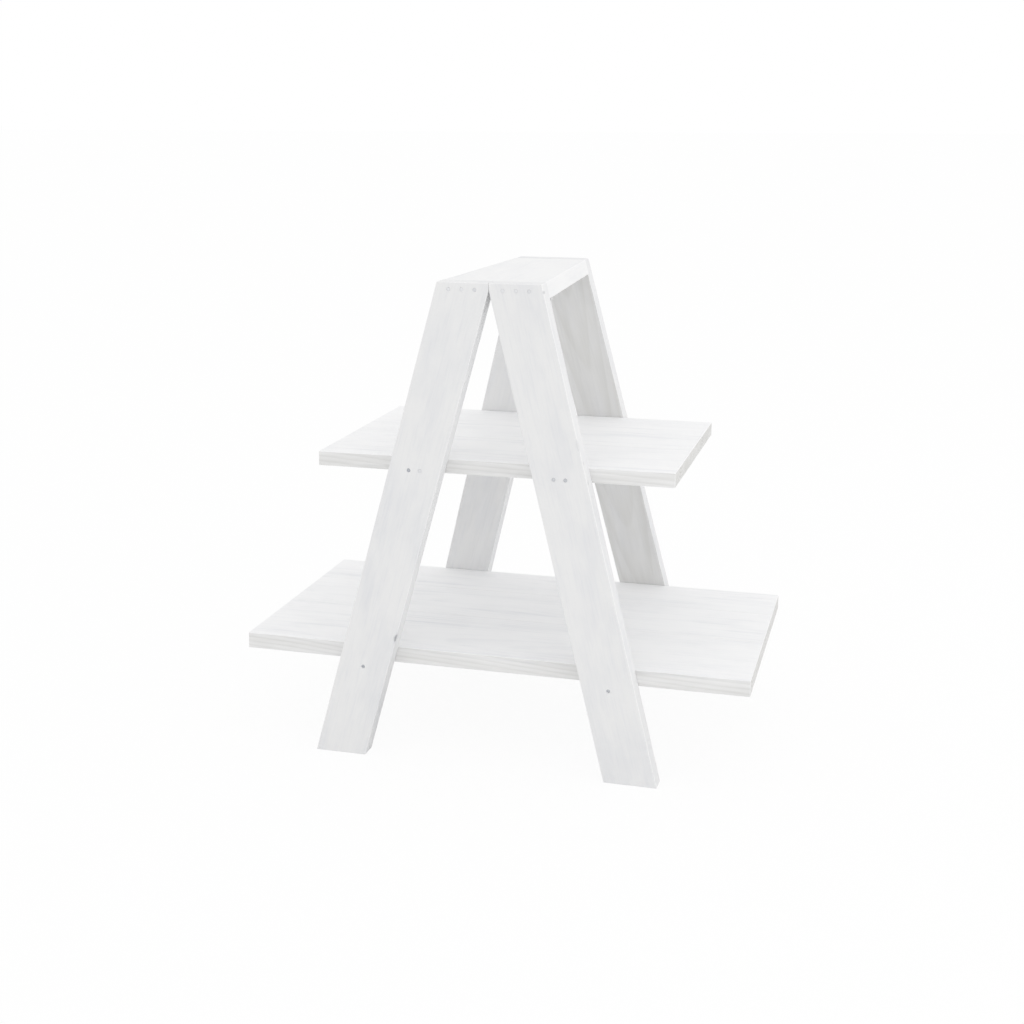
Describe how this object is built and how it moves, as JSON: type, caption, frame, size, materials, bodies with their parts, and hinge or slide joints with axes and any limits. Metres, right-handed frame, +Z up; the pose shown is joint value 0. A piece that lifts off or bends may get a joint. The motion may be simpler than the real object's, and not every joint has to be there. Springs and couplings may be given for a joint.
{
  "type": "plant ladder stand",
  "caption": "Whitewashed wooden ladder stand: splayed leg boards nailed to a top board and to shelves that grow longer towards the floor, for pots and ornaments.",
  "frame": {"origin": "centre of the stand's footprint on the floor", "axes": "+X to the right as seen from the front, +Y from the front legs to the rear legs, +Z up"},
  "size_m": [0.543, 0.3374, 0.5],
  "materials": {
    "leg_paint": "thin white paint over planed pine, satin, grain showing",
    "top_paint": "thin white paint over planed pine, satin, grain showing",
    "shelf_paint": "thin white paint over glued pine staves, satin, grain and seams showing",
    "nail_steel": "steel nail heads with thin worn paint"
  },
  "bodies": {
    "root": {"leg_front_left": "leg_paint", "leg_front_right": "leg_paint", "leg_rear_left": "leg_paint", "leg_rear_right": "leg_paint", "top_board": "top_paint", "shelf_middle_front_stave": "shelf_paint", "shelf_middle_rear_stave": "shelf_paint", "shelf_bottom_front_stave": "shelf_paint", "shelf_bottom_middle_stave": "shelf_paint", "shelf_bottom_rear_stave": "shelf_paint", "nail_top_front_left_1": "nail_steel", "nail_top_front_left_2": "nail_steel", "nail_top_front_left_3": "nail_steel", "nail_middle_front_left_1": "nail_steel", "nail_middle_front_left_2": "nail_steel", "nail_bottom_front_left_1": "nail_steel", "nail_top_front_right_1": "nail_steel", "nail_top_front_right_2": "nail_steel", "nail_top_front_right_3": "nail_steel", "nail_middle_front_right_1": "nail_steel", "nail_middle_front_right_2": "nail_steel", "nail_bottom_front_right_1": "nail_steel", "nail_top_rear_left_1": "nail_steel", "nail_top_rear_left_2": "nail_steel", "nail_top_rear_left_3": "nail_steel", "nail_middle_rear_left_1": "nail_steel", "nail_middle_rear_left_2": "nail_steel", "nail_bottom_rear_left_1": "nail_steel", "nail_top_rear_right_1": "nail_steel", "nail_top_rear_right_2": "nail_steel", "nail_top_rear_right_3": "nail_steel", "nail_middle_rear_right_1": "nail_steel", "nail_middle_rear_right_2": "nail_steel", "nail_bottom_rear_right_1": "nail_steel"}
  },
  "joints": []
}
